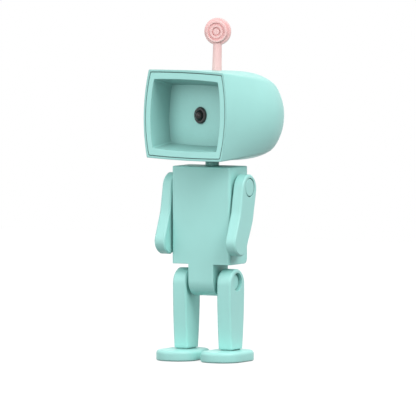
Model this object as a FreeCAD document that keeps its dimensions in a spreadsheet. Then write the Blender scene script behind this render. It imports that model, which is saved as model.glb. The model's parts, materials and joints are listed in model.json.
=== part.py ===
"""Robot-shaped LED night light, 95 mm high, as a parametric document in millimetres.

The origin is on the ground under the middle of the whole figure. X points to the figure's
left, Y points to its back and Z points up. The figure stands with its head turned and
tipped back a little, and its antenna turned the other way. Each body is modelled round the
middle of the torso and moved from there to the origin at the end.
"""

import FreeCAD, Part
import math
import os

import Sketcher
from FreeCAD import Placement, Rotation, Vector

# Driving dimensions: name, millimetres or degrees, meaning
DIMENSIONS = [
    ("torso_across", 0.764, "torso's middle from the origin, to the figure's left"),
    ("torso_back", -4.9225, "torso's middle behind the origin"),
    ("torso_width", 18.2, "torso across the shoulders"),
    ("torso_depth", 10.1, "torso front to back"),
    ("torso_height", 27.0, "torso without the hip block"),
    ("torso_floor", 26.75, "height of the torso's underside"),
    ("torso_wall", 1.4, "torso wall"),
    ("hip_block_width", 7.8, "block between the legs"),
    ("hip_block_round", 4.3, "radius of its lower end"),
    ("hip_block_centre", 4.6, "centre of that end below the torso"),
    ("shoulder_height", 48.05, "shoulder axis above the ground"),
    ("hip_height", 21.85, "hip axis above the ground"),
    ("hip_setback", -0.5, "hip axis behind the torso's middle"),
    ("arm_gap", 0.4, "air between arm and torso"),
    ("arm_thick", 3.2, "arm, side to side"),
    ("arm_round", 4.1, "radius of the shoulder end"),
    ("arm_sink", 0.45, "centre of the shoulder end below the shoulder axis"),
    ("arm_lean", 12.0, "upper arm's lean to the front, degrees"),
    ("upper_arm", 8.4, "shoulder axis to elbow"),
    ("elbow_half", 3.95, "half the arm's depth at the elbow"),
    ("forearm_lean", 25.3, "forearm's lean to the front, degrees"),
    ("forearm", 11.1, "elbow to the arm's end"),
    ("hand_half", 3.65, "half the arm's depth at its end"),
    ("hand_round", 3.3, "corner radius of the arm's end"),
    ("elbow_bend", 9.0, "radius of the elbow's bend"),
    ("leg_pitch", 13.9, "distance between the legs' middles"),
    ("leg_thick", 4.3, "leg, side to side"),
    ("leg_round", 4.3, "radius of the hip end"),
    ("leg_sink", 0.7, "centre of the hip end below the hip axis"),
    ("leg_length", 18.55, "hip axis to ankle"),
    ("ankle_front", 3.35, "ankle in front of the hip axis"),
    ("ankle_back", 3.1, "ankle behind the hip axis"),
    ("foot_width", 12.0, "foot, side to side"),
    ("foot_length", 17.2, "foot, heel to toe"),
    ("foot_height", 2.95, "foot"),
    ("foot_forward", 2.05, "foot's middle in front of the hip axis"),
    ("foot_corner", 5.6, "corner radius of the foot seen from above"),
    ("disc_round", 2.45, "radius of the shoulder pin's head"),
    ("disc_sink", 1.2, "depth of the shoulder pin's head"),
    ("hip_disc_round", 2.25, "radius of the hip pin's head"),
    ("hip_recess", 0.9, "hip pin's head below the leg's face"),
    ("disc_gap", 0.2, "gap round a pin's head"),
    ("pin_round", 1.4, "radius of the shoulder and hip pins"),
    ("running_fit", 0.06, "radial clearance of a turning fit"),
    ("screw_low", 5.0, "lower screw of the back cover above the torso's underside"),
    ("screw_high", 15.5, "upper screw of the back cover above the torso's underside"),
    ("screw_head", 1.5, "radius of a screw's head"),
    ("screw_head_thick", 0.5, "screw's head"),
    ("screw_shank", 0.6, "radius of a screw's shank"),
    ("screw_pilot", 0.62, "radius of the hole that a screw bites into"),
    ("screw_pass", 0.9, "radius of the hole that a screw passes through"),
    ("screw_seat", 1.6, "radius of the recess for a screw's head"),
    ("screw_post", 1.8, "radius of the posts behind the back cover's screws"),
    ("pin_boss", 2.5, "radius of the bosses round the shoulder bores"),
    ("press_fit", 0.02, "radial clearance of a pin that is held fast"),
    ("neck_round", 1.9, "radius of the neck"),
    ("neck_stem", 1.5, "radius of the neck inside the torso"),
    ("neck_setback", 1.65, "neck axis behind the torso's middle"),
    ("pivot_height", 4.4, "head's cross pin above the torso"),
    ("cross_pin", 0.8, "radius of the head's cross pin"),
    ("head_width", 32.9, "head at the middle of its bulging sides"),
    ("head_height", 24.9, "head at its middle"),
    ("head_depth", 32.0, "head front to back"),
    ("head_corner_across", 14.8, "front corner from the middle, sideways"),
    ("head_corner_up", 12.2, "front corner from the middle, upwards"),
    ("head_axis", 10.8, "neck behind the head's front"),
    ("antenna_axis", 11.9, "antenna behind the head's front"),
    ("head_pivot_drop", 9.5, "cross pin below the head's middle"),
    ("head_wall", 1.3, "head wall"),
    ("cheek_inner", 2.1, "inner face of the cheeks beside the neck, from the middle"),
    ("cheek_outer", 4.4, "outer face of those cheeks"),
    ("cheek_reach", 2.4, "cheeks in front of and behind the cross pin"),
    ("side_power", 4.0, "how late the head's sides close to the back"),
    ("top_power", 7.6, "how late the head's top closes to the back"),
    ("head_rim", 0.6, "rim of the head round the lamp face"),
    ("face_gap", 0.2, "joint line round the lamp face"),
    ("face_thick", 1.3, "lamp face's frame"),
    ("opening_across", 12.75, "corner of the lamp opening, sideways"),
    ("opening_up", 9.6, "corner of the lamp opening, upwards"),
    ("opening_bulge", 1.15, "outward bow of the opening's sides"),
    ("opening_crown", 0.35, "outward bow of the opening's top"),
    ("recess_depth", 6.3, "depth of the lamp recess"),
    ("floor_across", 11.8, "corner of the recess floor, sideways"),
    ("floor_up", 8.0, "corner of the recess floor, upwards"),
    ("tray_wall", 0.9, "wall of the lamp recess"),
    ("bezel_round", 2.3, "radius of the black ring round the LED"),
    ("bezel_proud", 0.6, "ring in front of the recess floor"),
    ("led_round", 1.5, "radius of the LED"),
    ("led_across", -0.2, "LED from the recess's middle to the figure's left"),
    ("peg_round", 1.0, "radius of the pegs that carry the circuit board"),
    ("peg_across", 6.5, "pegs from the middle, sideways"),
    ("peg_length", 1.3, "pegs from the recess floor to the circuit board"),
    ("board_across", 9.0, "circuit board from the middle, sideways"),
    ("board_low", 5.0, "circuit board below the middle"),
    ("board_high", 6.5, "circuit board above the middle"),
    ("board_thick", 1.0, "circuit board"),
    ("switch_across", 3.0, "switch from the middle, sideways"),
    ("switch_low", 1.2, "switch's underside above the middle"),
    ("switch_high", 5.2, "switch's top above the middle"),
    ("switch_deep", 4.6, "switch behind the circuit board"),
    ("plunger_round", 0.85, "radius of the switch's plunger"),
    ("strip_thick", 0.3, "sheet of the battery contacts"),
    ("cell_round", 3.95, "radius of a button cell"),
    ("cell_thick", 3.6, "button cell"),
    ("cells_start", 15.6, "first cell behind the head's front"),
    ("cap_round", 8.0, "radius of the battery cap"),
    ("cap_neck", 6.9, "radius of the cap's neck"),
    ("cap_face", 29.35, "cap's seat behind the head's front"),
    ("cap_back", 31.1, "cap's outer face behind the head's front"),
    ("cap_ledge", 28.05, "ledge behind which the cap's lugs catch"),
    ("cap_lug", 7.7, "reach of the cap's lugs"),
    ("cap_lug_width", 2.8, "lugs, across"),
    ("cap_swing", 60.0, "turn that frees the cap, degrees"),
    ("stalk_foot", 1.33, "radius of the antenna's stalk at the head"),
    ("stalk_top", 1.2, "radius of the stalk at the disc"),
    ("stalk_height", 6.95, "stalk from the head's top to the disc"),
    ("dish_round", 3.8, "radius of the antenna's disc"),
    ("dish_thick", 0.8, "antenna's disc at its edge"),
    ("boss_round", 3.0, "radius of the ringed boss on the disc"),
    ("boss_proud", 1.6, "boss in front of the disc's middle"),
    ("head_turn", 17.8, "head's turn to its right, degrees"),
    ("head_tip", 1.8, "head's tip to the back, degrees"),
    ("antenna_turn", 31.0, "antenna's turn on the head, degrees"),
]

doc = FreeCAD.newDocument("night_light")
sheet = doc.addObject("Spreadsheet::Sheet", "sizes")


class Size:
    """A number together with the expression that gives it from the sheet."""

    def __init__(self, value, text=None):
        self.value = float(value)
        self.text = text if text else repr(float(value))

    def __add__(self, other):
        other = as_size(other)
        return Size(self.value + other.value, f"({self.text} + {other.text})")

    def __sub__(self, other):
        other = as_size(other)
        return Size(self.value - other.value, f"({self.text} - {other.text})")

    def __mul__(self, other):
        other = as_size(other)
        return Size(self.value * other.value, f"({self.text} * {other.text})")

    def __truediv__(self, other):
        other = as_size(other)
        return Size(self.value / other.value, f"({self.text} / {other.text})")

    def __neg__(self):
        return Size(-self.value, f"(-1 * {self.text})")

    def __radd__(self, other):
        return as_size(other) + self

    def __rsub__(self, other):
        return as_size(other) - self

    def __rmul__(self, other):
        return as_size(other) * self


def as_size(number):
    return number if isinstance(number, Size) else Size(number)


def root(number):
    return Size(math.sqrt(number.value), f"sqrt({number.text})")


def cosine(angle):
    return Size(math.cos(math.radians(angle.value)), f"cos({angle.text} * 1 deg)")


def sine(angle):
    return Size(math.sin(math.radians(angle.value)), f"sin({angle.text} * 1 deg)")


class Dimensions:
    """The sheet's values by name, each a Size."""


mm = Dimensions()
for row, (alias, amount, meaning) in enumerate(DIMENSIONS, start=1):
    sheet.set(f"A{row}", meaning)
    sheet.set(f"B{row}", str(amount))
    sheet.setAlias(f"B{row}", alias)
    setattr(mm, alias, Size(amount, f"sizes.{alias}"))
doc.recompute()


# Sketches

NORMAL_SIGN = {"XY": 1, "XZ": -1, "YZ": 1}
sketch_plane = {}


def new_body(name):
    body = doc.addObject("PartDesign::Body", name)
    body.Label = name
    return body


def new_sketch(body, plane, place=0):
    """A sketch across one of the body's origin planes, at a place along its normal axis."""
    profile = body.newObject("Sketcher::SketchObject", f"{body.Name}_outline")
    origin_plane = next(f for f in body.Origin.OriginFeatures if f.Role == f"{plane}_Plane")
    profile.AttachmentSupport = [(origin_plane, "")]
    profile.MapMode = "FlatFace"
    offset = as_size(place) * NORMAL_SIGN[plane]
    profile.AttachmentOffset = Placement(Vector(0, 0, offset.value), Rotation())
    profile.setExpression("AttachmentOffset.Base.z", offset.text)
    sketch_plane[profile.Name] = plane
    return profile


def add_size(profile, kind, elements, amount):
    """A dimension in a sketch, bound to its expression."""
    index = profile.addConstraint(Sketcher.Constraint(kind, *elements, amount.value))
    name = f"size{index}"
    profile.renameConstraint(index, name)
    profile.setExpression(f"Constraints.{name}", amount.text)


def hold_point(profile, edge, end, across, up):
    """Hold a point of a sketch at its two coordinates."""
    for kind, amount, axis in (("DistanceX", across, -2), ("DistanceY", up, -1)):
        amount = as_size(amount)
        if abs(amount.value) < 1e-9:
            profile.addConstraint(Sketcher.Constraint("PointOnObject", edge, end, axis))
        else:
            add_size(profile, kind, (-1, 1, edge, end), amount)


def flat(point):
    return Vector(as_size(point[0]).value, as_size(point[1]).value, 0)


def arc_edge(start, end, centre, counter_clockwise):
    """An arc whose own ends are stored counter-clockwise, whichever way it is walked."""
    first, last = (start, end) if counter_clockwise else (end, start)
    first_angle = math.atan2(first.y - centre.y, first.x - centre.x)
    last_angle = math.atan2(last.y - centre.y, last.x - centre.x)
    circle = Part.Circle(centre, Vector(0, 0, 1), (first - centre).Length)
    return Part.ArcOfCircle(circle, first_angle, last_angle)


def add_outline(profile, corners):
    """A closed outline. A corner is (across, up), or has a third item for the edge that
    leaves it as an arc: (centre across, centre up, counter-clockwise)."""
    starts = []
    for place, corner in enumerate(corners):
        following = corners[(place + 1) % len(corners)]
        start, end = flat(corner), flat(following)
        if len(corner) == 2:
            edge = profile.addGeometry(Part.LineSegment(start, end))
            starts.append((edge, 1, 2))
            continue
        centre_x, centre_y, counter_clockwise = corner[2]
        centre = flat((centre_x, centre_y))
        edge = profile.addGeometry(arc_edge(start, end, centre, counter_clockwise))
        starts.append((edge, 1, 2) if counter_clockwise else (edge, 2, 1))
        chord = end - start
        if abs(chord.x) > abs(chord.y):
            hold_centre(profile, edge, "DistanceY", centre_y, -1)
        else:
            hold_centre(profile, edge, "DistanceX", centre_x, -2)
    for place, corner in enumerate(corners):
        edge, first, _ = starts[place]
        before, _, last = starts[place - 1]
        profile.addConstraint(Sketcher.Constraint("Coincident", before, last, edge, first))
        hold_point(profile, edge, first, corner[0], corner[1])


def hold_centre(profile, edge, kind, amount, axis):
    """Hold one coordinate of an arc's centre."""
    amount = as_size(amount)
    if abs(amount.value) < 1e-9:
        profile.addConstraint(Sketcher.Constraint("PointOnObject", edge, 3, axis))
    else:
        add_size(profile, kind, (-1, 1, edge, 3), amount)


def add_circle(profile, across, up, radius):
    radius = as_size(radius)
    edge = profile.addGeometry(Part.Circle(flat((across, up)), Vector(0, 0, 1), radius.value))
    add_size(profile, "Radius", (edge,), radius)
    hold_point(profile, edge, 3, across, up)


def add_rectangle(profile, left, right, low, high):
    add_outline(profile, [(left, low), (right, low), (right, high), (left, high)])


# Features

def pad(body, profile, length, toward=1):
    """Add material from the sketch, along or against the axis that is normal to it."""
    feature = body.newObject("PartDesign::Pad", f"{body.Name}_pad")
    feature.Profile = profile
    feature.Length = as_size(length).value
    feature.setExpression("Length", as_size(length).text)
    feature.Reversed = toward * NORMAL_SIGN[sketch_plane[profile.Name]] < 0
    return grown(body, feature)


def pocket(body, profile, length, toward=-1):
    """Cut material from the sketch, along or against the axis that is normal to it."""
    feature = body.newObject("PartDesign::Pocket", f"{body.Name}_pocket")
    feature.Profile = profile
    feature.Type = "Length"
    feature.Length = as_size(length).value
    feature.setExpression("Length", as_size(length).text)
    feature.Reversed = toward * NORMAL_SIGN[sketch_plane[profile.Name]] > 0
    return shrunk(body, feature)


def revolve(body, profile, kind="Revolution", angle=360):
    """Turn the sketch about its own upright axis, to add material or to cut a groove."""
    feature = body.newObject(f"PartDesign::{kind}", f"{body.Name}_{kind.lower()}")
    feature.Profile = profile
    feature.ReferenceAxis = (profile, ["V_Axis"])
    feature.Angle = angle
    return grown(body, feature) if kind == "Revolution" else shrunk(body, feature)


def loft(body, sections, kind="Additive", straight=False):
    """Blend a row of sections, to add material or to hollow it."""
    feature = body.newObject(f"PartDesign::{kind}Loft", f"{body.Name}_loft")
    feature.Profile = sections[0]
    feature.Sections = sections[1:]
    feature.Ruled = straight
    return grown(body, feature) if kind == "Additive" else shrunk(body, feature)


def round_edges(body, radius, chosen):
    """Fillet the edges of the body's last feature that the test picks."""
    return dress_edges(body, "Fillet", "Radius", radius, chosen)


def break_edges(body, width, chosen):
    """Chamfer the edges of the body's last feature that the test picks."""
    return dress_edges(body, "Chamfer", "Size", width, chosen)


def dress_edges(body, kind, measure, amount, chosen):
    base = body.Tip
    names = [f"Edge{n}" for n, e in enumerate(base.Shape.Edges, start=1) if chosen(e)]
    if not names:
        raise RuntimeError(f"{body.Name}: no edge to dress")
    feature = body.newObject(f"PartDesign::{kind}", f"{body.Name}_{kind.lower()}")
    feature.Base = (base, names)
    setattr(feature, measure, as_size(amount).value)
    feature.setExpression(measure, as_size(amount).text)
    doc.recompute()
    check(feature)
    last_volume[body.Name] = feature.Shape.Volume
    return feature


last_volume = {}


def check(feature):
    if "Invalid" in feature.State or "Error" in feature.State:
        raise RuntimeError(f"{feature.Name} failed: {feature.State}")
    if feature.Shape.isNull() or not feature.Shape.isValid():
        raise RuntimeError(f"{feature.Name} has no valid shape")


def grown(body, feature):
    doc.recompute()
    check(feature)
    before = last_volume.get(body.Name, 0)
    last_volume[body.Name] = feature.Shape.Volume
    if feature.Shape.Volume <= before:
        raise RuntimeError(f"{feature.Name} adds nothing")
    return feature


def shrunk(body, feature):
    doc.recompute()
    check(feature)
    before = last_volume[body.Name]
    last_volume[body.Name] = feature.Shape.Volume
    if feature.Shape.Volume >= before - 1e-6:
        raise RuntimeError(f"{feature.Name} cuts nothing")
    return feature


def middle(edge):
    return edge.valueAt((edge.FirstParameter + edge.LastParameter) / 2)


def runs_along(edge, axis):
    """Whether an edge is straight and parallel to an axis."""
    if not isinstance(edge.Curve, (Part.Line, Part.LineSegment)):
        return False
    return abs(edge.tangentAt(edge.FirstParameter).dot(axis)) > 0.999


def turned(name, profile_points, angle=360):
    """A piece of revolution about its own Z axis, from (radius, height) points."""
    body = new_body(name)
    profile = new_sketch(body, "XZ")
    add_outline(profile, profile_points)
    revolve(body, profile, angle=angle)
    return body


X_AXIS, Y_AXIS, Z_AXIS = Vector(1, 0, 0), Vector(0, 1, 0), Vector(0, 0, 1)
SIDES = (("left", 1), ("right", -1))


def along_x(side):
    """The turn that lays a turned piece along X, its top pointing to the given side."""
    return Rotation(Y_AXIS, 90 * side)


# Head

neck_line = Vector(0, mm.neck_setback.value, 0)
torso_top = mm.torso_floor + mm.torso_height
pivot = neck_line + Vector(0, 0, (torso_top + mm.pivot_height).value)
head_rotation = Rotation(Z_AXIS, -mm.head_turn.value) * Rotation(X_AXIS, -mm.head_tip.value)
pivot_in_head = Vector(0, mm.head_axis.value, -mm.head_pivot_drop.value)
head_place = Placement(pivot - head_rotation.multVec(pivot_in_head), head_rotation)
FORWARD = Rotation(X_AXIS, 90)
BACKWARD = Rotation(X_AXIS, -90)


def in_head(across=0, back=0, up=0, rotation=Rotation()):
    """A placement given in the head's own frame, from the middle of its front."""
    base = Vector(as_size(across).value, as_size(back).value, as_size(up).value)
    return head_place * Placement(base, rotation)


def barrel(profile, half_width, half_height, corner_across, corner_up, corner_round):
    """A four-sided outline whose sides bow outwards and whose corners are rounded."""
    side_bow = half_width - corner_across
    top_bow = half_height - corner_up
    side_arc = (corner_up * corner_up + side_bow * side_bow) / (2 * side_bow)
    top_arc = (corner_across * corner_across + top_bow * top_bow) / (2 * top_bow)
    side_centre = half_width - side_arc
    top_centre = half_height - top_arc
    corner = corner_centre(side_centre.value, side_arc.value, top_centre.value,
                           top_arc.value, corner_round.value)
    side_point = touch(Vector(side_centre.value, 0, 0), side_arc.value, corner)
    top_point = touch(Vector(0, top_centre.value, 0), top_arc.value, corner)
    arcs = []
    quarter_turns = ((1, 1), (-1, 1), (-1, -1), (1, -1))
    for place, (sx, sy) in enumerate(quarter_turns):
        points = [Vector(p.x * sx, p.y * sy, 0) for p in (side_point, top_point)]
        if place % 2:
            points.reverse()
        centre = Vector(corner.x * sx, corner.y * sy, 0)
        arcs.append((points[0], points[1], centre, corner_round))
        if place % 2 == 0:
            far = Vector(-points[1].x, points[1].y, 0)
            arcs.append((points[1], far, Vector(0, top_centre.value * sy, 0), top_arc))
        else:
            far = Vector(points[1].x, -points[1].y, 0)
            arcs.append((points[1], far, Vector(side_centre.value * sx, 0, 0), side_arc))
    edges = []
    for start, end, centre, radius in arcs:
        edges.append(profile.addGeometry(arc_edge(start, end, centre, True)))
        add_size(profile, "Radius", (edges[-1],), radius)
    for before, after in zip(edges, edges[1:] + edges[:1]):
        profile.addConstraint(Sketcher.Constraint("Tangent", before, 2, after, 1))
    for edge, sign in ((edges[1], 1), (edges[5], -1)):
        profile.addConstraint(Sketcher.Constraint("PointOnObject", edge, 3, -2))
        add_size(profile, "DistanceY", (-1, 1, edge, 3), top_centre * sign)
    for edge, sign in ((edges[3], -1), (edges[7], 1)):
        profile.addConstraint(Sketcher.Constraint("PointOnObject", edge, 3, -1))
        add_size(profile, "DistanceX", (-1, 1, edge, 3), side_centre * sign)


def corner_centre(side_centre, side_arc, top_centre, top_arc, corner_round):
    """The centre of the arc that touches both bowed sides from inside."""
    reach_side = side_arc - corner_round
    reach_top = top_arc - corner_round
    between = Vector(-side_centre, top_centre, 0)
    distance = between.Length
    along = (distance ** 2 + reach_side ** 2 - reach_top ** 2) / (2 * distance)
    aside = math.sqrt(reach_side ** 2 - along ** 2)
    step = between / distance
    foot = Vector(side_centre, 0, 0) + step * along
    square = Vector(-step.y, step.x, 0) * aside
    return max((foot + square, foot - square), key=lambda p: p.x + p.y)


def touch(centre, radius, corner):
    """Where the rounded corner meets the arc with this centre."""
    direction = (corner - centre).normalize()
    return centre + direction * radius


# Head sections: share of the depth, and the corner's radius there
HEAD_STATIONS = ((0.0, 0.45), (0.2, 0.8), (0.45, 1.8), (0.65, 3.2), (0.82, 4.2), (0.92, 4.0), (0.97, 3.2))
HOLLOW_STATIONS = ((0.0, 0.45), (0.55, 1.6), (0.78, 2.0), (0.9, 2.0))
LAST_STATION = HEAD_STATIONS[-1][0]
REAR_CORNER_ACROSS = 0.69
REAR_CORNER_UP = 0.73


def head_section(body, share, corner_round, inset):
    """The head's outline at a share of its depth, or one wall's thickness inside it."""
    depth = mm.head_depth - inset
    side_close = root(Size(1 - share ** mm.side_power.value, f"(1 - {share} ^ sizes.side_power)"))
    top_close = root(Size(1 - share ** mm.top_power.value, f"(1 - {share} ^ sizes.top_power)"))
    half_width = (mm.head_width / 2 - inset) * side_close
    half_height = (mm.head_height / 2 - inset) * top_close
    blend = share / LAST_STATION
    front_across = mm.head_corner_across / (mm.head_width / 2)
    front_up = mm.head_corner_up / (mm.head_height / 2)
    across = half_width * (front_across * (1 - blend) + REAR_CORNER_ACROSS * blend)
    up = half_height * (front_up * (1 - blend) + REAR_CORNER_UP * blend)
    profile = new_sketch(body, "XZ", depth * share)
    barrel(profile, half_width, half_height, across, up, as_size(corner_round))
    return profile


def inset_front(profile, inset, corner_round):
    """The head's front outline, drawn in by a margin."""
    barrel(profile, mm.head_width / 2 - inset, mm.head_height / 2 - inset,
           mm.head_corner_across - inset, mm.head_corner_up - inset, as_size(corner_round))


def make_head_shell():
    """The helmet: a loft through bowed sections that grow rounder to the back, hollowed
    by a straight loft, with a rebate for the lamp face and seats for what it carries."""
    body = new_body("head_shell")
    loft(body, [head_section(body, share, corner, as_size(0)) for share, corner in HEAD_STATIONS])
    hollow = [head_section(body, share, corner, mm.head_wall) for share, corner in HOLLOW_STATIONS]
    loft(body, hollow, "Subtractive", straight=True)
    rebate = new_sketch(body, "XZ", -0.1)
    inset_front(rebate, mm.head_rim, 0.45)
    pocket(body, rebate, mm.face_thick + 0.2, toward=1)
    wall_middle_up = mm.head_height / 2 - mm.head_wall / 2
    cheek_top = mm.head_pivot_drop - mm.cheek_inner
    cheek_front, cheek_rear = mm.head_axis - mm.cheek_reach, mm.head_axis + mm.cheek_reach
    for left, right in ((mm.cheek_inner, mm.cheek_outer), (-mm.cheek_outer, -mm.cheek_inner)):
        cheek = new_sketch(body, "XY", -wall_middle_up)
        add_rectangle(cheek, left, right, cheek_front, cheek_rear)
        pad(body, cheek, wall_middle_up - cheek_top)
    antenna_seat = new_sketch(body, "XY", wall_middle_up)
    add_circle(antenna_seat, 0, mm.antenna_axis, 2.7)
    pad(body, antenna_seat, 2.9, toward=-1)
    tray_seat = new_sketch(body, "XY", -wall_middle_up)
    add_rectangle(tray_seat, -3.0, 3.0, 18.0, 23.0)
    pad(body, tray_seat, wall_middle_up - 10.2)
    cross_bore = new_sketch(body, "YZ", -6)
    add_circle(cross_bore, mm.head_axis, -mm.head_pivot_drop, mm.cross_pin + mm.press_fit)
    pocket(body, cross_bore, 12, toward=1)
    neck_slot = new_sketch(body, "XY", -mm.head_height / 2 - 1)
    add_rectangle(neck_slot, -mm.cheek_inner, mm.cheek_inner, cheek_front - 0.1, cheek_rear + 0.1)
    pocket(body, neck_slot, 4, toward=1)
    antenna_bore = new_sketch(body, "XY", mm.head_height / 2 + 1)
    add_circle(antenna_bore, 0, mm.antenna_axis, mm.stalk_foot + mm.running_fit)
    pocket(body, antenna_bore, 6)
    lug_space = new_sketch(body, "XZ", mm.cap_ledge)
    add_circle(lug_space, 0, 0, mm.cap_round)
    pocket(body, lug_space, 3)
    ledge = new_sketch(body, "XZ", mm.cap_ledge)
    add_circle(ledge, 0, 0, mm.cap_round + 0.6)
    pad(body, ledge, 0.95)
    cap_seat = new_sketch(body, "XZ", mm.head_depth + 1)
    add_circle(cap_seat, 0, 0, mm.cap_round + 0.12)
    pocket(body, cap_seat, mm.head_depth + 1.05 - mm.cap_face)
    cap_hole = new_sketch(body, "XZ", mm.head_depth + 1)
    add_circle(cap_hole, 0, 0, mm.cap_neck + 0.1)
    pocket(body, cap_hole, 8)
    notches = new_sketch(body, "XZ", mm.cap_face + 0.5)
    reach, half_wide = mm.cap_lug + 0.05, mm.cap_lug_width / 2 + 0.15
    corners = [(-reach, -half_wide), (reach, -half_wide), (reach, half_wide), (-reach, half_wide)]
    add_outline(notches, [swung(corner, mm.cap_swing) for corner in corners])
    pocket(body, notches, 3)
    body.Placement = head_place
    return body


def swung(corner, angle):
    """A corner turned about the sketch's origin."""
    across, up = corner
    return (across * cosine(angle) - up * sine(angle), across * sine(angle) + up * cosine(angle))


def tray_section(body, back, growth, across, up, bulge, crown, corner_round):
    profile = new_sketch(body, "XZ", back)
    barrel(profile, across + bulge + growth, up + crown + growth, across + growth,
           up + growth, as_size(corner_round))
    return profile


def make_face_frame():
    """The lamp face: a flush frame and a tapered tray behind it, open to the front."""
    body = new_body("face_frame")
    plate = new_sketch(body, "XZ", 0.05)
    inset_front(plate, mm.head_rim + mm.face_gap, 0.4)
    pad(body, plate, mm.face_thick)
    opening = (mm.opening_across, mm.opening_up, mm.opening_bulge, mm.opening_crown)
    bottom = (mm.floor_across, mm.floor_up, mm.opening_bulge * 0.8, mm.opening_crown)
    wall = mm.tray_wall
    loft(body, [tray_section(body, 0.6, wall, *opening, 1.5),
                tray_section(body, mm.recess_depth + wall, wall, *bottom, 1.5)])
    loft(body, [tray_section(body, 0.0, as_size(0), *opening, 0.6),
                tray_section(body, mm.recess_depth, as_size(0), *bottom, 0.6)], "Subtractive")
    for side in (1, -1):
        peg = new_sketch(body, "XZ", mm.recess_depth + wall)
        add_circle(peg, mm.peg_across * side, -2.0, mm.peg_round)
        pad(body, peg, mm.peg_length)
    led_hole = new_sketch(body, "XZ", 0)
    add_circle(led_hole, mm.led_across, 0, mm.bezel_round - 0.27)
    pocket(body, led_hole, 12, toward=1)
    body.Placement = head_place
    return body


def make_lamp():
    """The black ring in the recess floor and the LED that looks through it."""
    ring, led = mm.bezel_round, mm.led_round
    wall = mm.tray_wall
    bezel = turned("led_bezel", [
        (led + 0.05, -wall - 0.3), (ring - 0.3, -wall - 0.3), (ring - 0.3, 0), (ring, 0),
        (ring, mm.bezel_proud - 0.25), (ring - 0.25, mm.bezel_proud), (led + 0.05, mm.bezel_proud)])
    bezel.Placement = in_head(mm.led_across, mm.recess_depth, rotation=FORWARD)
    dome_base = mm.bezel_proud - 0.35
    lens = turned("led", [
        (0, -wall - 1.3), (led + 0.35, -wall - 1.3), (led + 0.35, -wall - 0.35),
        (led, -wall - 0.35), (led, dome_base, (0, dome_base, True)), (0, dome_base + led)])
    lens.Placement = in_head(mm.led_across, mm.recess_depth, rotation=FORWARD)


def make_electronics():
    """Board, resistor and push switch behind the lamp face."""
    board_front = mm.recess_depth + mm.tray_wall + mm.peg_length
    board_back = board_front + mm.board_thick
    board = new_body("circuit_board")
    outline = new_sketch(board, "XZ", board_front)
    add_rectangle(outline, -mm.board_across, mm.board_across, -mm.board_low, mm.board_high)
    pad(board, outline, mm.board_thick)
    board.Placement = head_place
    lead, leads_reach, case_round, case_half = 0.2, 2.6, 0.75, 1.7
    resistor = turned("resistor", [
        (0, -leads_reach), (lead, -leads_reach), (lead, -case_half), (case_round, -case_half),
        (case_round, case_half), (lead, case_half), (lead, leads_reach), (0, leads_reach)])
    resistor.Placement = in_head(across=-6.2, back=board_back + case_round + 0.01, up=0.5)
    switch = new_body("switch_body")
    case = new_sketch(switch, "XY", mm.switch_low)
    add_rectangle(case, -mm.switch_across, mm.switch_across, board_back,
                  board_back + mm.switch_deep)
    pad(switch, case, mm.switch_high - mm.switch_low)
    plunger_well = new_sketch(switch, "XY", mm.switch_high + 0.1)
    add_circle(plunger_well, 0, mm.antenna_axis, mm.plunger_round + 0.1)
    pocket(switch, plunger_well, 2.4)
    switch.Placement = head_place
    reach, plunger_height = mm.plunger_round, 3.2
    plunger = turned("switch_plunger", [
        (0, 0), (reach, 0), (reach, plunger_height - 0.3), (reach - 0.25, plunger_height),
        (0, plunger_height)])
    plunger.Placement = in_head(back=mm.antenna_axis, up=mm.switch_high - 1.2)


def make_antenna():
    """A tapered stalk with a disc that carries a ringed boss on each side."""
    body = new_body("antenna")
    top = mm.head_height / 2
    groove_top = 8.93 - top
    groove_low = groove_top - 0.55
    stem_end = groove_low - 1.13
    foot, tip = mm.stalk_foot, mm.stalk_top
    stalk = new_sketch(body, "XZ")
    add_outline(stalk, [
        (0, stem_end), (foot - 0.2, stem_end), (foot, stem_end + 0.2), (foot, groove_low),
        (foot - 0.4, groove_low), (foot - 0.4, groove_top), (foot, groove_top), (foot, 0),
        (tip, mm.stalk_height + 0.6), (0, mm.stalk_height + 0.6)])
    revolve(body, stalk)
    centre_up = mm.stalk_height + mm.dish_round
    edge = mm.dish_thick / 2
    boss, proud = mm.boss_round, mm.boss_proud
    disc = body.newObject("PartDesign::AdditiveCylinder", "antenna_disc")
    place_round(disc, mm.dish_round, mm.dish_thick, -edge, centre_up)
    grown(body, disc)
    hub = body.newObject("PartDesign::AdditiveCylinder", "antenna_hub")
    place_round(hub, boss, proud * 2, -proud, centre_up)
    grown(body, hub)
    for side in (1, -1):
        for outer, inner in ((2.45, 1.85), (1.25, 0.85)):
            ring = new_sketch(body, "XZ", (proud + 0.5) * side)
            add_circle(ring, 0, centre_up, outer)
            add_circle(ring, 0, centre_up, inner)
            pocket(body, ring, 0.5 + 0.4, toward=-side)
    break_edges(body, 0.15, lambda e: is_rim(e, centre_up.value, (boss.value,), proud.value))
    break_edges(body, 0.2, lambda e: is_rim(e, centre_up.value, (mm.dish_round.value,), edge.value))
    body.Placement = antenna_place()
    clip = turned("antenna_clip", [
        (foot - 0.37, groove_low + 0.04), (2.2, groove_low + 0.04),
        (2.2, groove_top - 0.06), (foot - 0.37, groove_top - 0.06)], angle=310)
    clip.Placement = antenna_place()


def is_rim(edge, up, radii, reach):
    """Whether an edge is a whole circle round the disc's axis, at a reach from its middle."""
    if not isinstance(edge.Curve, Part.Circle):
        return False
    centre = edge.Curve.Center
    level = abs(centre.z - up) < 0.01 and abs(abs(centre.y) - reach) < 0.01
    return level and any(abs(edge.Curve.Radius - r) < 0.01 for r in radii)


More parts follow.
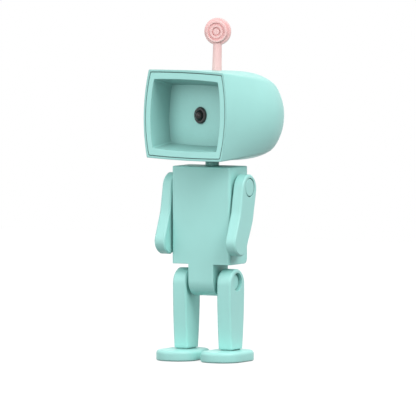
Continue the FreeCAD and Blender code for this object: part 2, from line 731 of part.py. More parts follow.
def place_round(feature, radius, length, start, up):
    """Lay an added cylinder along Y."""
    feature.Radius = radius.value
    feature.setExpression("Radius", radius.text)
    feature.Height = length.value
    feature.setExpression("Height", length.text)
    feature.AttachmentSupport = None
    feature.Placement = Placement(Vector(0, start.value, up.value), BACKWARD)


def antenna_place():
    turn = Rotation(Z_AXIS, mm.antenna_turn.value)
    return in_head(back=mm.antenna_axis, up=mm.head_height / 2, rotation=turn)


def make_battery():
    """Tray, three button cells, sheet contacts and the coin-slot cap."""
    tray = new_body("battery_tray")
    start = mm.cells_start - 1.3
    tube = new_sketch(tray, "XZ", start)
    add_circle(tube, 0, 0, mm.cell_round + 0.95)
    pad(tray, tube, mm.cell_thick * 3 + 1.3)
    base = new_sketch(tray, "XZ", 18.1)
    add_rectangle(base, -2.8, 2.8, -10.15, -mm.cell_round - 0.3)
    pad(tray, base, 4.8)
    well = new_sketch(tray, "XZ", mm.cells_start - 0.35)
    add_circle(well, 0, 0, mm.cell_round + 0.1)
    pocket(tray, well, 14, toward=1)
    strip_slot = new_sketch(tray, "XZ", start - 1)
    add_rectangle(strip_slot, -1.1, 1.1, -3.9, -3.4)
    pocket(tray, strip_slot, 4, toward=1)
    tray.Placement = head_place
    for place, name in enumerate(("cell_front", "cell_middle", "cell_rear")):
        cell = turned(name, [
            (0, 0.02), (mm.cell_round - 0.5, 0.02), (mm.cell_round - 0.5, 0.35),
            (mm.cell_round, 0.35), (mm.cell_round, mm.cell_thick - 0.2),
            (mm.cell_round - 0.2, mm.cell_thick), (0, mm.cell_thick)])
        cell.Placement = in_head(back=mm.cells_start + mm.cell_thick * place, rotation=BACKWARD)
    make_contacts()
    make_battery_cap()


def make_contacts():
    """Bent strips from the board to the two ends of the row of cells."""
    board_back = mm.recess_depth + mm.tray_wall + mm.peg_length + mm.board_thick
    sheet_thick = mm.strip_thick
    front = new_body("contact_front")
    bend = new_sketch(front, "YZ", -1)
    cells = mm.cells_start
    add_outline(bend, [
        (board_back, -3.8), (cells - 0.02, -3.8), (cells - 0.02, 3.0), (cells - 0.27, 3.0),
        (cells - 0.27, sheet_thick - 3.8), (board_back, sheet_thick - 3.8)])
    pad(front, bend, 2)
    front.Placement = head_place
    rear = new_body("contact_rear")
    end = mm.cells_start + mm.cell_thick * 3 + 0.02
    strip = new_sketch(rear, "YZ", 4.2)
    add_outline(strip, [
        (board_back, 6.1), (end + sheet_thick, 6.1), (end + sheet_thick, 6.1 + sheet_thick),
        (board_back, 6.1 + sheet_thick)])
    pad(rear, strip, 1.8)
    leaf = new_sketch(rear, "XZ", end)
    add_rectangle(leaf, -1.0, 6.0, -1.5, 1.5)
    pad(rear, leaf, sheet_thick)
    link = new_sketch(rear, "XZ", end)
    add_rectangle(link, 4.2, 6.0, 1.4, 6.4)
    pad(rear, link, sheet_thick)
    rear.Placement = head_place


def make_battery_cap():
    """A bevelled cap with a coin slot and two lugs that catch behind the head's wall."""
    name = "battery_cap"
    seat = mm.cap_face + 0.03
    rim_back = seat + 0.6
    inner = mm.cells_start + mm.cell_thick * 3 + 0.6
    cap = turned(name, [
        (0, inner - 0.2), (1.5, inner - 0.2), (1.5, inner + 0.4), (mm.cap_neck, inner + 0.4),
        (mm.cap_neck, seat), (mm.cap_round, seat),
        (mm.cap_round, rim_back), (mm.cap_round - 1.4, mm.cap_back), (0, mm.cap_back)])
    lugs = new_sketch(cap, "XY", mm.cap_ledge - 0.85)
    half_wide = mm.cap_lug_width / 2
    add_rectangle(lugs, -mm.cap_lug, mm.cap_lug, -half_wide, half_wide)
    pad(cap, lugs, 0.8)
    coin_slot = new_sketch(cap, "XY", mm.cap_back + 1)
    add_rectangle(coin_slot, -4.6, 4.6, -0.65, 0.65)
    pocket(cap, coin_slot, 2.0)
    cap.Placement = in_head(rotation=BACKWARD)


def make_neck():
    """The post that turns in the torso, its clip and the head's cross pin."""
    stem, neck = mm.neck_stem, mm.neck_round
    post = new_body("neck_post")
    outline = new_sketch(post, "XZ")
    top = mm.pivot_height + 0.25
    add_outline(outline, [
        (0, -5.6), (stem - 0.3, -5.6), (stem, -5.3), (stem, -4.85), (stem - 0.4, -4.85),
        (stem - 0.4, -4.25), (stem, -4.25), (stem, 0.04), (neck, 0.04),
        (neck, top), (neck - 0.9, top + 1.4), (0, top + 1.4)])
    revolve(post, outline)
    eye = new_sketch(post, "YZ", -3)
    add_circle(eye, 0, mm.pivot_height, mm.cross_pin + mm.running_fit)
    pocket(post, eye, 6, toward=1)
    turn = Rotation(Z_AXIS, -mm.head_turn.value)
    foot = Placement(neck_line + Vector(0, 0, torso_top.value), turn)
    post.Placement = foot
    clip = turned("neck_clip", [
        (stem - 0.37, -4.8), (stem + 0.6, -4.8), (stem + 0.6, -4.3), (stem - 0.37, -4.3)],
        angle=310)
    clip.Placement = foot
    pin = turned("neck_pin", [
        (0, -4.3), (mm.cross_pin, -4.3), (mm.cross_pin, 4.3), (0, 4.3)])
    pin.Placement = in_head(back=mm.head_axis, up=-mm.head_pivot_drop, rotation=along_x(1))


# Torso

def make_torso():
    """Front, sides, top and hip block in one moulding, open at the back for its cover."""
    body = new_body("torso_shell")
    half_width, half_depth = mm.torso_width / 2, mm.torso_depth / 2
    height, wall = mm.torso_height, mm.torso_wall
    box = new_sketch(body, "XZ", -half_depth)
    add_rectangle(box, -half_width, half_width, 0, height)
    pad(body, box, mm.torso_depth)
    round_edges(body, 0.7, lambda e: runs_along(e, Z_AXIS) and middle(e).y < 0)
    round_edges(body, 1.6, lambda e: runs_along(e, X_AXIS) and middle(e).y > 0
                and middle(e).z < 1)
    hip = new_sketch(body, "YZ", -mm.hip_block_width / 2)
    reach, drop = mm.hip_block_round, mm.hip_block_centre
    centre = reach - half_depth
    add_outline(hip, [
        (centre - reach, -drop, (centre, -drop, True)), (centre + reach, -drop),
        (centre + reach, 2.5), (centre - reach, 2.5)])
    pad(body, hip, mm.hip_block_width)
    hollow = new_sketch(body, "XZ", half_depth + 0.1)
    add_rectangle(hollow, wall - half_width, half_width - wall, wall * 1.5, height - wall)
    pocket(body, hollow, mm.torso_depth + 0.1 - wall)
    rebate = new_sketch(body, "XZ", half_depth + 0.1)
    lip = wall - 0.6
    add_rectangle(rebate, lip - half_width, half_width - lip, lip + 1.3, height - lip)
    pocket(body, rebate, 1.3)
    neck_boss = new_sketch(body, "XY", height - wall / 2)
    add_circle(neck_boss, 0, mm.neck_setback, mm.neck_stem + 0.65)
    pad(body, neck_boss, 3.45, toward=-1)
    neck_bore = new_sketch(body, "XY", height + 1)
    add_circle(neck_bore, 0, mm.neck_setback, mm.neck_stem + mm.running_fit)
    pocket(body, neck_bore, 6)
    shoulder = mm.shoulder_height - mm.torso_floor
    for side in (1, -1):
        boss = new_sketch(body, "YZ", (half_width - wall / 2) * side)
        add_circle(boss, 0, shoulder, mm.pin_boss)
        pad(body, boss, 2.9, toward=-side)
    bore = new_sketch(body, "YZ", -half_width - 1)
    add_circle(bore, 0, shoulder, mm.pin_round + mm.press_fit)
    pocket(body, bore, mm.torso_width + 2, toward=1)
    for up in (mm.screw_low, mm.screw_high):
        post = new_sketch(body, "XZ", -half_depth + wall / 2)
        add_circle(post, 0, up, mm.screw_post)
        pad(body, post, mm.torso_depth - wall / 2 - 1.25)
        screw_hole = new_sketch(body, "XZ", half_depth + 1)
        add_circle(screw_hole, 0, up, mm.screw_pilot)
        pocket(body, screw_hole, 8.2)
    hip_bore = new_sketch(body, "YZ", -mm.hip_block_width)
    add_circle(hip_bore, mm.hip_setback, mm.hip_height - mm.torso_floor,
               mm.pin_round + mm.press_fit)
    pocket(body, hip_bore, mm.hip_block_width * 2, toward=1)
    round_edges(body, 0.35, lambda e: is_top_edge(e, height.value))
    body.Placement = Placement(Vector(0, 0, mm.torso_floor.value), Rotation())


def is_top_edge(edge, height):
    """Whether an edge is one of the long straight ones round the torso's top."""
    straight = isinstance(edge.Curve, (Part.Line, Part.LineSegment))
    return straight and abs(middle(edge).z - height) < 0.01 and edge.Length > 8


def make_torso_back():
    """The inset cover of the torso's back, with its two screws."""
    body = new_body("torso_back")
    half_width, half_depth = mm.torso_width / 2, mm.torso_depth / 2
    lip = mm.torso_wall - 0.5
    plate = new_sketch(body, "XZ", half_depth - 1.15)
    add_rectangle(plate, lip - half_width, half_width - lip, lip + 1.3, mm.torso_height - lip)
    pad(body, plate, 1.1)
    break_edges(body, 0.25, lambda e: middle(e).y > half_depth.value - 0.1)
    for up in (mm.screw_low, mm.screw_high):
        screw_hole = new_sketch(body, "XZ", half_depth + 1)
        add_circle(screw_hole, 0, up, mm.screw_pass)
        pocket(body, screw_hole, 4)
        head_seat = new_sketch(body, "XZ", half_depth + 1)
        add_circle(head_seat, 0, up, mm.screw_seat)
        pocket(body, head_seat, 1.65)
    body.Placement = Placement(Vector(0, 0, mm.torso_floor.value), Rotation())
    for name, up in (("torso_screw_lower", mm.screw_low), ("torso_screw_upper", mm.screw_high)):
        screw = make_screw(name, as_size(6.2))
        place = Vector(0, half_depth.value - 0.62, (mm.torso_floor + up).value)
        screw.Placement = Placement(place, BACKWARD)


def make_screw(name, length):
    """A cross-head screw whose head rises from its own origin."""
    head_round, head_thick, shank_round = mm.screw_head, mm.screw_head_thick, mm.screw_shank
    screw = turned(name, [
        (0, -length), (shank_round * 0.5, -length), (shank_round, -length + 0.6),
        (shank_round, 0), (head_round, 0), (head_round, head_thick * 0.6),
        (head_round - 0.25, head_thick), (0, head_thick)])
    blade, reach = as_size(0.16), head_round * 0.6
    for half_long, half_wide in ((reach, blade), (blade, reach)):
        cross = new_sketch(screw, "XY", head_thick + 0.1)
        add_rectangle(cross, -half_long, half_long, -half_wide, half_wide)
        pocket(screw, cross, 0.1 + head_thick * 0.6)
    return screw


# Limbs

def arm_corners():
    """The arm's side view, round the shoulder axis: a round end, a bend and a hand."""
    lean, fore = mm.arm_lean, mm.forearm_lean
    elbow = (-sine(lean) * mm.upper_arm, -cosine(lean) * mm.upper_arm)
    wrist = (elbow[0] - sine(fore) * mm.forearm, elbow[1] - cosine(fore) * mm.forearm)
    half_turn = (fore - lean) / 2
    middle_lean = (fore + lean) / 2
    mitre = mm.elbow_half / cosine(half_turn)
    elbow_front = (elbow[0] - cosine(middle_lean) * mitre, elbow[1] + sine(middle_lean) * mitre)
    elbow_back = (elbow[0] + cosine(middle_lean) * mitre, elbow[1] - sine(middle_lean) * mitre)
    hand_front = (wrist[0] - cosine(fore) * mm.hand_half, wrist[1] + sine(fore) * mm.hand_half)
    hand_back = (wrist[0] + cosine(fore) * mm.hand_half, wrist[1] - sine(fore) * mm.hand_half)
    sink = mm.arm_sink
    top_front = (-cosine(lean) * mm.arm_round, sine(lean) * mm.arm_round - sink)
    top_back = (cosine(lean) * mm.arm_round, -sine(lean) * mm.arm_round - sink)
    return [(*top_back, (0, -sink, True)), top_front, elbow_front, hand_front, hand_back, elbow_back]


def make_arm(name, side):
    """One bent arm. Its pin's head is flush in its outer face."""
    body = new_body(name)
    half = mm.arm_thick / 2
    profile = new_sketch(body, "YZ", -half)
    add_outline(profile, arm_corners())
    pad(body, profile, mm.arm_thick)
    elbow_level = (-mm.arm_round - 1).value
    hand_level = (-mm.upper_arm - mm.forearm * 0.6).value
    round_edges(body, mm.elbow_bend, lambda e: runs_along(e, X_AXIS)
                and hand_level < middle(e).z < elbow_level)
    round_edges(body, mm.hand_round, lambda e: runs_along(e, X_AXIS)
                and middle(e).z < hand_level)
    break_edges(body, 0.4, lambda e: abs(abs(middle(e).x) - half.value) < 0.01)
    hub = new_sketch(body, "YZ", (half - 0.2) * -side)
    add_circle(hub, 0, 0, 2.7)
    pad(body, hub, mm.arm_gap + 0.15, toward=-side)
    seat = new_sketch(body, "YZ", (half + 0.5) * side)
    add_circle(seat, 0, 0, mm.disc_round + mm.disc_gap)
    pocket(body, seat, mm.disc_sink + 0.5, toward=-side)
    bore = new_sketch(body, "YZ", -4)
    add_circle(bore, 0, 0, mm.pin_round + mm.running_fit)
    pocket(body, bore, 8, toward=1)
    across = (mm.torso_width / 2 + mm.arm_gap + half).value
    body.Placement = Placement(Vector(across * side, 0, mm.shoulder_height.value), Rotation())


def make_shoulder_pin(name, side):
    """Flush-headed pin of a shoulder, its shank fast in the torso."""
    shank = mm.arm_gap + mm.arm_thick - mm.disc_sink + 5.2
    groove = shank - 0.9
    pin = turned(f"{name}_pin", [
        (0, -shank), (mm.pin_round - 0.2, -shank), (mm.pin_round, -shank + 0.2),
        (mm.pin_round, -groove - 0.1), (mm.pin_round - 0.35, -groove - 0.1),
        (mm.pin_round - 0.35, -groove + 0.4), (mm.pin_round, -groove + 0.4),
        (mm.pin_round, 0.03), (mm.disc_round, 0.03), (mm.disc_round, mm.disc_sink - 0.2),
        (mm.disc_round - 0.2, mm.disc_sink), (0, mm.disc_sink)])
    across = mm.torso_width / 2 + mm.arm_gap + mm.arm_thick - mm.disc_sink
    base = Vector(across.value * side, 0, mm.shoulder_height.value)
    pin.Placement = Placement(base, along_x(side))
    clip = turned(f"{name}_clip", [
        (mm.pin_round - 0.32, -groove - 0.05), (2.3, -groove - 0.05),
        (2.3, -groove + 0.35), (mm.pin_round - 0.32, -groove + 0.35)], angle=310)
    clip.Placement = Placement(base, along_x(side))


def make_leg(name, side):
    """One leg: a round hip, a slight taper to the ankle and a tenon for the foot."""
    body = new_body(name)
    half = mm.leg_thick / 2
    reach, drop, sink = mm.leg_round, mm.leg_length, mm.leg_sink
    run = drop - sink
    front_in = reach - mm.ankle_front
    back_in = reach - mm.ankle_back
    front_arc = (front_in * front_in + run * run) / (2 * front_in)
    back_arc = (back_in * back_in + run * run) / (2 * back_in)
    profile = new_sketch(body, "YZ", -half)
    add_outline(profile, [
        (reach, -sink, (0, -sink, True)), (-reach, -sink, (front_arc - reach, -sink, True)),
        (-mm.ankle_front, -drop), (mm.ankle_back, -drop, (reach - back_arc, -sink, True))])
    pad(body, profile, mm.leg_thick)
    break_edges(body, 0.4, lambda e: abs(abs(middle(e).x) - half.value) < 0.01
                and middle(e).z > -drop.value + 0.01)
    tenon = new_sketch(body, "XY", -drop + 0.3)
    add_rectangle(tenon, -1.6, 1.6, 0.5 - mm.ankle_front, mm.ankle_back - 0.5)
    pad(body, tenon, 2.0, toward=-1)
    hub = new_sketch(body, "YZ", (half - 0.2) * -side)
    add_circle(hub, 0, 0, 2.6)
    gap = (mm.leg_pitch - mm.leg_thick - mm.hip_block_width) / 2
    pad(body, hub, gap + 0.15, toward=-side)
    recess = new_sketch(body, "YZ", (half + 0.5) * side)
    add_circle(recess, 0, 0, mm.hip_disc_round + 0.3)
    pocket(body, recess, mm.hip_recess + 1.3, toward=-side)
    bore = new_sketch(body, "YZ", -4)
    add_circle(bore, 0, 0, mm.pin_round + mm.running_fit)
    pocket(body, bore, 8, toward=1)
    screw_hole = new_sketch(body, "XY", -drop - 3)
    add_circle(screw_hole, 0, -0.1, mm.screw_pilot)
    pocket(body, screw_hole, 7.5, toward=1)
    body.Placement = limb_place(side, mm.hip_height.value)


def limb_place(side, height):
    across = (mm.leg_pitch / 2).value * side
    return Placement(Vector(across, mm.hip_setback.value, height), Rotation())


def make_hip_pin(name, side):
    """Sunk pin of a hip, its shank fast in the hip block."""
    seat = (mm.leg_pitch + mm.leg_thick) / 2 - mm.hip_recess - 0.8
    head = mm.hip_disc_round
    pin = turned(name, [
        (0, 0.4 - seat), (mm.pin_round - 0.2, 0.4 - seat), (mm.pin_round, 0.6 - seat),
        (mm.pin_round, 0.03), (head, 0.03), (head, 0.6), (head - 0.2, 0.8), (0, 0.8)])
    pin.Placement = Placement(
        Vector(seat.value * side, mm.hip_setback.value, mm.hip_height.value), along_x(side))


def make_foot(name, side):
    """A rounded pad with a mortise for the leg's tenon and a sunk screw in its sole."""
    body = new_body(name)
    half_width, half_length = mm.foot_width / 2, mm.foot_length / 2
    sole = new_sketch(body, "XY")
    add_rectangle(sole, -half_width, half_width, -mm.foot_forward - half_length,
                  half_length - mm.foot_forward)
    pad(body, sole, mm.foot_height)
    round_edges(body, mm.foot_corner, lambda e: runs_along(e, Z_AXIS))
    top, low = mm.foot_height.value, 0.01
    round_edges(body, 0.95, lambda e: middle(e).z > top - 0.01)
    break_edges(body, 0.3, lambda e: middle(e).z < low)
    mortise = new_sketch(body, "XY", mm.foot_height + 1)
    add_rectangle(mortise, -1.65, 1.65, 0.45 - mm.ankle_front, mm.ankle_back - 0.45)
    pocket(body, mortise, 2.45)
    screw_hole = new_sketch(body, "XY", -1)
    add_circle(screw_hole, 0, -0.1, mm.screw_pass)
    pocket(body, screw_hole, 6, toward=1)
    head_seat = new_sketch(body, "XY", -1)
    add_circle(head_seat, 0, -0.1, mm.screw_seat)
    pocket(body, head_seat, 1.9, toward=1)
    body.Placement = limb_place(side, 0)
    screw = make_screw(f"{name}_screw", as_size(6.0))
    down = limb_place(side, 0.88)
    screw.Placement = down * Placement(Vector(0, -0.1, 0), Rotation(X_AXIS, 180))


make_head_shell()
make_face_frame()
make_lamp()
make_electronics()
make_antenna()
make_battery()
make_neck()
make_torso()
make_torso_back()
for word, sign in SIDES:
    make_arm(f"{word}_arm", sign)
    make_shoulder_pin(f"{word}_shoulder", sign)
    make_leg(f"{word}_leg", sign)
    make_hip_pin(f"{word}_hip_pin", sign)
    make_foot(f"{word}_foot", sign)

doc.recompute()
for item in doc.Objects:
    if "Invalid" in item.State or "Error" in item.State:
        raise RuntimeError(f"{item.Name} failed: {item.State}")

pieces = [item for item in doc.Objects if item.TypeId == "PartDesign::Body"]
for piece in pieces:
    if piece.Shape.isNull() or not piece.Shape.isValid() or len(piece.Shape.Solids) != 1:
        raise RuntimeError(f"{piece.Label} is not one valid solid")

to_origin = Placement(Vector(mm.torso_across.value, mm.torso_back.value, 0), Rotation())
os.makedirs("parts", exist_ok=True)
for piece in pieces:
    piece.Placement = to_origin * piece.Placement
    piece.Shape.exportStep(f"parts/{piece.Label}.step")
print(f"{len(pieces)} pieces")
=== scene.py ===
"""Looks of the robot-shaped night light: materials, studio light and camera round the solids.

All lengths are metres in the row frame: Z up, the figure faces -Y, its left is +X.
"""

import json
import math

import bpy
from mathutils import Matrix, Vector

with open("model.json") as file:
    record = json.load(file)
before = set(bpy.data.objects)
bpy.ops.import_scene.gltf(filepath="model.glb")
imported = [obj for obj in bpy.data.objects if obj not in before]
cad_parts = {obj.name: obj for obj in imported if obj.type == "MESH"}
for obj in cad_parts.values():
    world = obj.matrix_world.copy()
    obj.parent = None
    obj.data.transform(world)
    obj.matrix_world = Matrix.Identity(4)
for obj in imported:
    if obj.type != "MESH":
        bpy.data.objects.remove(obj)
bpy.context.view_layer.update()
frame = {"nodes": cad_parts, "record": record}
nodes = frame["nodes"]

TORSO_MIDDLE = Vector((0.000764, -0.0049225, 0.0))
HEAD_MIDDLE = (0.002, -0.002, 0.06)

# The camera: degrees round and above the figure, metres away, and the point it looks at
AZIMUTH, ELEVATION = 28.3, 3.6
CAMERA_DISTANCE = 2.5
CLIP_NEAR, CLIP_FAR = 0.1, 20
SENSOR_WIDTH, FOCAL_LENGTH = 36.0, 782.3
AIM_HEIGHT, AIM_LEFT, AIM_DOWN = 0.04705, 0.000387, 0.00498

# The floor just under the soles, and its grey and its glow towards the camera
FLOOR_HALF, FLOOR_HEIGHT = 0.45, -0.00003
FLOOR_GREY, FLOOR_GLOW = 0.18, 0.85

# The world's light: levels below and above, and the heights between which it changes
DOME_LOW, DOME_HIGH = 0.036, 0.895
DOME_EDGE, DOME_TOP = -0.1, 0.6

# The lamps: place and size in metres, power in watts, and whether glossy surfaces show them
LAMPS = {
    "right_softbox": ((0.8, -0.35, 0.8), (0.5, 0.6), 7.5, True),
    "left_softbox": ((-0.5, -0.5, 0.3), (0.4, 0.4), 0.85, True),
    "front_fill": ((-0.05, -0.6, 0.13), (0.3, 0.25), 0.7, True),
    "rear_softbox": ((-0.35, 0.85, 0.12), (0.5, 0.4), 2.5, False),
}

# Base colours, linear
MINT = (0.405, 0.795, 0.745)
# Painted light: the face parts are the body's mint plastic made lighter, so the head's front renders brighter
FACE_MINT_PAINTED_LIGHT = (0.475, 0.92, 0.865)
PINK = (0.9, 0.57, 0.56)

# Painted shade in hollows, where ambient occlusion darkens the base colour: how far it reaches in metres, how
# deep it goes, and the openness at which it is full
BODY_PAINTED_SHADE = (0.002, 0.3, 0.0)
FACE_PAINTED_SHADE = (0.022, 0.75, 0.2)
OPEN_ENOUGH = 0.9

# The span in which most noise values lie, and how far the head and its board are turned, in degrees
NOISE_LOW, NOISE_HIGH = 0.3, 0.7
HEAD_TURN = 17.8

# Reflection of the moulded plastics
PLASTIC_SHINE = 0.35


# Node materials

def new_material(name):
    """A new material, its node tree and the tree's Principled shader."""
    material = bpy.data.materials.new(name)
    material.use_nodes = True
    tree = material.node_tree
    shader = next(n for n in tree.nodes if n.type == "BSDF_PRINCIPLED")
    return material, tree, shader


def add_node(tree, kind, **settings):
    """A node with its sockets or its properties set by name."""
    node = tree.nodes.new(kind)
    for name, value in settings.items():
        if name in node.inputs.keys():
            node.inputs[name].default_value = value
        else:
            setattr(node, name, value)
    return node


def coordinates(tree, stretch=(1, 1, 1)):
    """The object's own coordinates, so that a pattern travels with its piece."""
    source = add_node(tree, "ShaderNodeTexCoord")
    mapping = add_node(tree, "ShaderNodeMapping")
    mapping.inputs["Scale"].default_value = stretch
    tree.links.new(source.outputs["Object"], mapping.inputs["Vector"])
    return mapping.outputs["Vector"]


def noise(tree, vector, per_metre, detail=3.0, roughness=0.55):
    """Noise with a given number of features to the metre."""
    texture = add_node(tree, "ShaderNodeTexNoise", Scale=per_metre, Detail=detail, Roughness=roughness)
    tree.links.new(vector, texture.inputs["Vector"])
    return texture.outputs["Fac"]


def remap(tree, value, low, high, from_low=NOISE_LOW, from_high=NOISE_HIGH):
    """A value carried from one range to another."""
    node = add_node(tree, "ShaderNodeMapRange")
    for name, amount in (("From Min", from_low), ("From Max", from_high), ("To Min", low), ("To Max", high)):
        node.inputs[name].default_value = amount
    tree.links.new(value, node.inputs["Value"])
    return node.outputs["Result"]


def tint(tree, value, first, second):
    """A colour between two, by a value from 0 to 1."""
    ramp = add_node(tree, "ShaderNodeValToRGB")
    ramp.color_ramp.elements[0].color = (*first, 1)
    ramp.color_ramp.elements[1].color = (*second, 1)
    ramp.color_ramp.elements[0].position = NOISE_LOW
    ramp.color_ramp.elements[1].position = NOISE_HIGH
    tree.links.new(value, ramp.inputs["Fac"])
    return ramp.outputs["Color"]


def bumps(tree, shader, layers, edge_radius=0.0):
    """Layers of relief in metres on the surface, with softly rounded edges under them."""
    normal = None
    if edge_radius:
        soft = add_node(tree, "ShaderNodeBevel", samples=6)
        soft.inputs["Radius"].default_value = edge_radius
        normal = soft.outputs["Normal"]
    for height, depth in layers:
        bump = add_node(tree, "ShaderNodeBump", Strength=1.0, Distance=depth)
        tree.links.new(height, bump.inputs["Height"])
        if normal:
            tree.links.new(normal, bump.inputs["Normal"])
        normal = bump.outputs["Normal"]
    tree.links.new(normal, shader.inputs["Normal"])


def scaled(colour, factor):
    """A colour made lighter or darker."""
    return tuple(min(1.0, part * factor) for part in colour)


def painted_hollow_shade(tree, colour, reach, depth, closed):
    """Multiply a colour by painted shade: a soft darkening from ambient occlusion in narrow gaps and deep
    corners.
    """
    open_sky = add_node(tree, "ShaderNodeAmbientOcclusion", samples=8)
    open_sky.inputs["Distance"].default_value = reach
    painted_shade = remap(tree, open_sky.outputs["AO"], 1.0 - depth, 1.0, closed, OPEN_ENOUGH)
    product = add_node(tree, "ShaderNodeVectorMath", operation="SCALE")
    tree.links.new(colour, product.inputs["Vector"])
    tree.links.new(painted_shade, product.inputs["Scale"])
    return product.outputs["Vector"]


def moulded(name, colour, gloss, edge_radius=0.0001, grain=0.000002, painted_shade=None):
    """Moulded plastic: a fine spark-eroded grain, faint flow clouds and uneven gloss, with painted shade in
    hollows when a shade is given.
    """
    material, tree, shader = new_material(name)
    vector = coordinates(tree)
    clouds = noise(tree, vector, 90, detail=2.0)
    fine = noise(tree, vector, 5200, detail=2.0)
    waves = noise(tree, vector, 260, detail=1.0)
    body_colour = tint(tree, clouds, scaled(colour, 0.975), scaled(colour, 1.02))
    # Painted shade: the base colour darkens in gaps and corners by ambient occlusion
    if painted_shade:
        body_colour = painted_hollow_shade(tree, body_colour, *painted_shade)
    tree.links.new(body_colour, shader.inputs["Base Color"])
    uneven = remap(tree, noise(tree, vector, 700), gloss - 0.04, gloss + 0.05)
    tree.links.new(uneven, shader.inputs["Roughness"])
    shader.inputs["Specular IOR Level"].default_value = PLASTIC_SHINE
    relief = [(waves, grain * 2.5), (fine, grain)] if grain else []
    bumps(tree, shader, relief, edge_radius)
    return material


def metal(name, colour, gloss, stretch, per_metre=900):
    """Drawn or turned metal: streaks along one direction, and a slight stain."""
    material, tree, shader = new_material(name)
    streaks = noise(tree, coordinates(tree, stretch), per_metre, detail=4.0)
    stain = noise(tree, coordinates(tree), 320, detail=2.0)
    tree.links.new(tint(tree, stain, scaled(colour, 0.93), scaled(colour, 1.03)), shader.inputs["Base Color"])
    tree.links.new(remap(tree, streaks, gloss - 0.06, gloss + 0.1), shader.inputs["Roughness"])
    bumps(tree, shader, [(streaks, 0.000004)], 0.00004)
    shader.inputs["Metallic"].default_value = 1.0
    return material


def clear_dark(name, colour, gloss, coat, shine):
    """Dark cast resin under a clear skin."""
    material, tree, shader = new_material(name)
    vector = coordinates(tree)
    depth = noise(tree, vector, 1500, detail=2.0)
    tree.links.new(tint(tree, depth, scaled(colour, 0.7), scaled(colour, 1.4)), shader.inputs["Base Color"])
    tree.links.new(remap(tree, noise(tree, vector, 2600), gloss, gloss + 0.05), shader.inputs["Roughness"])
    bumps(tree, shader, [(depth, 0.000003)], 0.00005)
    shader.inputs["Specular IOR Level"].default_value = shine
    shader.inputs["Coat Weight"].default_value = coat
    shader.inputs["Coat Roughness"].default_value = 0.06
    return material


def board(name, mask, copper):
    """Green board with tracks under its mask."""
    material, tree, shader = new_material(name)
    tracks = add_node(tree, "ShaderNodeTexBrick", Scale=220.0)
    tracks.inputs["Mortar Size"].default_value = 0.09
    tracks.inputs["Color1"].default_value = (*mask, 1)
    tracks.inputs["Color2"].default_value = (*scaled(mask, 0.85), 1)
    tracks.inputs["Mortar"].default_value = (*copper, 1)
    turn = add_node(tree, "ShaderNodeMapping")
    turn.inputs["Rotation"].default_value = (math.radians(90), 0, math.radians(HEAD_TURN))
    source = add_node(tree, "ShaderNodeTexCoord")
    tree.links.new(source.outputs["Object"], turn.inputs["Vector"])
    tree.links.new(turn.outputs["Vector"], tracks.inputs["Vector"])
    tree.links.new(tracks.outputs["Color"], shader.inputs["Base Color"])
    gloss = noise(tree, coordinates(tree), 900)
    tree.links.new(remap(tree, gloss, 0.3, 0.42), shader.inputs["Roughness"])
    bumps(tree, shader, [(tracks.outputs["Fac"], 0.00003)])
    return material


MATERIALS = {
    # The body and face plastics carry painted shade in their hollows, deepest in the face's recess
    "mint": moulded("mint_plastic", MINT, 0.4, 0.0003, painted_shade=BODY_PAINTED_SHADE),
    "face_mint": moulded("face_plastic_painted_light", FACE_MINT_PAINTED_LIGHT, 0.42, 0.0002, painted_shade=FACE_PAINTED_SHADE),
    "pink": moulded("pink_plastic", PINK, 0.4, 0.00008, 0.0),
    "bezel_black": clear_dark("bezel_black", (0.014, 0.015, 0.015), 0.28, 0.0, 0.55),
    "led_dark": clear_dark("led_resin", (0.014, 0.01, 0.011), 0.12, 0.15, 0.3),
    "board_green": board("circuit_board", (0.02, 0.15, 0.06), (0.05, 0.26, 0.11)),
    "resistor_beige": moulded("resistor_lacquer", (0.6, 0.47, 0.3), 0.35, 0.00005),
    "switch_black": moulded("switch_plastic", (0.025, 0.025, 0.025), 0.5, 0.00005),
    "plunger_white": moulded("plunger_plastic", (0.75, 0.75, 0.72), 0.45, 0.00005),
    "tray_grey": moulded("tray_plastic", (0.5, 0.52, 0.52), 0.5),
    "cell_steel": metal("cell_nickel", (0.66, 0.65, 0.62), 0.26, (1, 1, 6)),
    "spring_steel": metal("contact_steel", (0.62, 0.62, 0.6), 0.3, (1, 7, 1)),
    "pin_steel": metal("turned_steel", (0.56, 0.56, 0.55), 0.3, (8, 1, 1)),
}

for entry in frame["record"]["subparts"]:
    node = nodes[entry["node"]]
    material = MATERIALS[entry["material_slot"]]
    node.data.materials.clear()
    node.data.materials.append(material)


# Floor, light and camera

def seen_directly(tree):
    """1 for camera, glossy and clear rays, and 0 for the light on the object."""
    path = add_node(tree, "ShaderNodeLightPath")
    seen = path.outputs["Is Camera Ray"]
    for ray in ("Is Glossy Ray", "Is Transmission Ray"):
        either = add_node(tree, "ShaderNodeMath", operation="MAXIMUM")
        tree.links.new(seen, either.inputs[0])
        tree.links.new(path.outputs[ray], either.inputs[1])
        seen = either.outputs[0]
    return seen


def backdrop_white(tree, surface, strength):
    """Add white to a surface where the camera, glossy or clear rays see it."""
    glow = add_node(tree, "ShaderNodeEmission", Color=(1, 1, 1, 1))
    level = add_node(tree, "ShaderNodeMath", operation="MULTIPLY")
    level.inputs[1].default_value = strength
    tree.links.new(seen_directly(tree), level.inputs[0])
    tree.links.new(level.outputs[0], glow.inputs["Strength"])
    total = add_node(tree, "ShaderNodeAddShader")
    tree.links.new(surface, total.inputs[0])
    tree.links.new(glow.outputs["Emission"], total.inputs[1])
    return total.outputs[0]


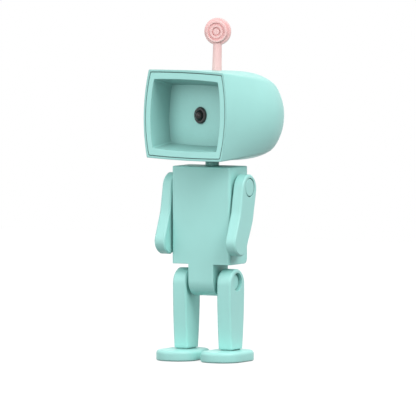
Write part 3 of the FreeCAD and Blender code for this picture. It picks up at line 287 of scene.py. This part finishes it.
def make_floor():
    """A pale square under the figure, which keeps its shadow."""
    mesh = bpy.data.meshes.new("studio_floor")
    signs = [(-1, -1), (1, -1), (1, 1), (-1, 1)]
    corners = [(x * FLOOR_HALF, y * FLOOR_HALF, FLOOR_HEIGHT) for x, y in signs]
    mesh.from_pydata(corners, [], [(0, 1, 2, 3)])
    floor = bpy.data.objects.new("studio_floor", mesh)
    bpy.context.scene.collection.objects.link(floor)
    material = bpy.data.materials.new("studio_floor")
    material.use_nodes = True
    tree = material.node_tree
    tree.nodes.clear()
    surface = add_node(tree, "ShaderNodeBsdfDiffuse", Color=(FLOOR_GREY, FLOOR_GREY, FLOOR_GREY, 1))
    output = add_node(tree, "ShaderNodeOutputMaterial")
    lit = backdrop_white(tree, surface.outputs["BSDF"], FLOOR_GLOW)
    tree.links.new(lit, output.inputs["Surface"])
    mesh.materials.append(material)


def make_world():
    """A soft white dome, dark below, that lights the object and shows as plain white."""
    world = bpy.data.worlds.new("studio")
    world.use_nodes = True
    bpy.context.scene.world = world
    tree = world.node_tree
    tree.nodes.clear()
    direction = add_node(tree, "ShaderNodeTexCoord")
    parts = add_node(tree, "ShaderNodeSeparateXYZ")
    tree.links.new(direction.outputs["Generated"], parts.inputs["Vector"])
    dome = remap(tree, parts.outputs["Z"], DOME_LOW, DOME_HIGH, DOME_EDGE, DOME_TOP)
    light = add_node(tree, "ShaderNodeBackground", Color=(1, 1, 1, 1))
    tree.links.new(dome, light.inputs["Strength"])
    white = add_node(tree, "ShaderNodeBackground", Color=(1, 1, 1, 1))
    white.inputs["Strength"].default_value = 1.0
    choice = add_node(tree, "ShaderNodeMixShader")
    tree.links.new(seen_directly(tree), choice.inputs["Fac"])
    tree.links.new(light.outputs["Background"], choice.inputs[1])
    tree.links.new(white.outputs["Background"], choice.inputs[2])
    output = add_node(tree, "ShaderNodeOutputWorld")
    tree.links.new(choice.outputs["Shader"], output.inputs["Surface"])


def make_lamp(name, place, size, power, glossy):
    """A rectangular softbox turned to the head."""
    data = bpy.data.lights.new(name, "AREA")
    data.shape = "RECTANGLE"
    data.size, data.size_y = size
    data.energy = power
    lamp = bpy.data.objects.new(name, data)
    lamp.location = place
    direction = Vector(HEAD_MIDDLE) - Vector(place)
    lamp.rotation_euler = direction.to_track_quat("-Z", "Y").to_euler()
    lamp.visible_glossy = glossy
    bpy.context.scene.collection.objects.link(lamp)


def make_camera():
    """The photograph's view: a long lens, a little above the figure and to its left."""
    azimuth, elevation = math.radians(AZIMUTH), math.radians(ELEVATION)
    back = Vector((math.sin(azimuth) * math.cos(elevation), -math.cos(azimuth) * math.cos(elevation),
                   math.sin(elevation)))
    right = Vector((math.cos(azimuth), math.sin(azimuth), 0))
    up = back.cross(right)
    aim = TORSO_MIDDLE + Vector((0, 0, AIM_HEIGHT)) - right * AIM_LEFT - up * AIM_DOWN
    data = bpy.data.cameras.new("photo_camera")
    data.sensor_width = SENSOR_WIDTH
    data.lens = FOCAL_LENGTH
    data.clip_start, data.clip_end = CLIP_NEAR, CLIP_FAR
    camera = bpy.data.objects.new("photo_camera", data)
    camera.location = aim + back * CAMERA_DISTANCE
    camera.rotation_euler = (-back).to_track_quat("-Z", "Y").to_euler()
    bpy.context.scene.collection.objects.link(camera)
    bpy.context.scene.camera = camera


make_floor()
make_world()
for lamp_name, settings in LAMPS.items():
    make_lamp(lamp_name, *settings)
make_camera()

bpy.context.scene.view_settings.view_transform = "Standard"
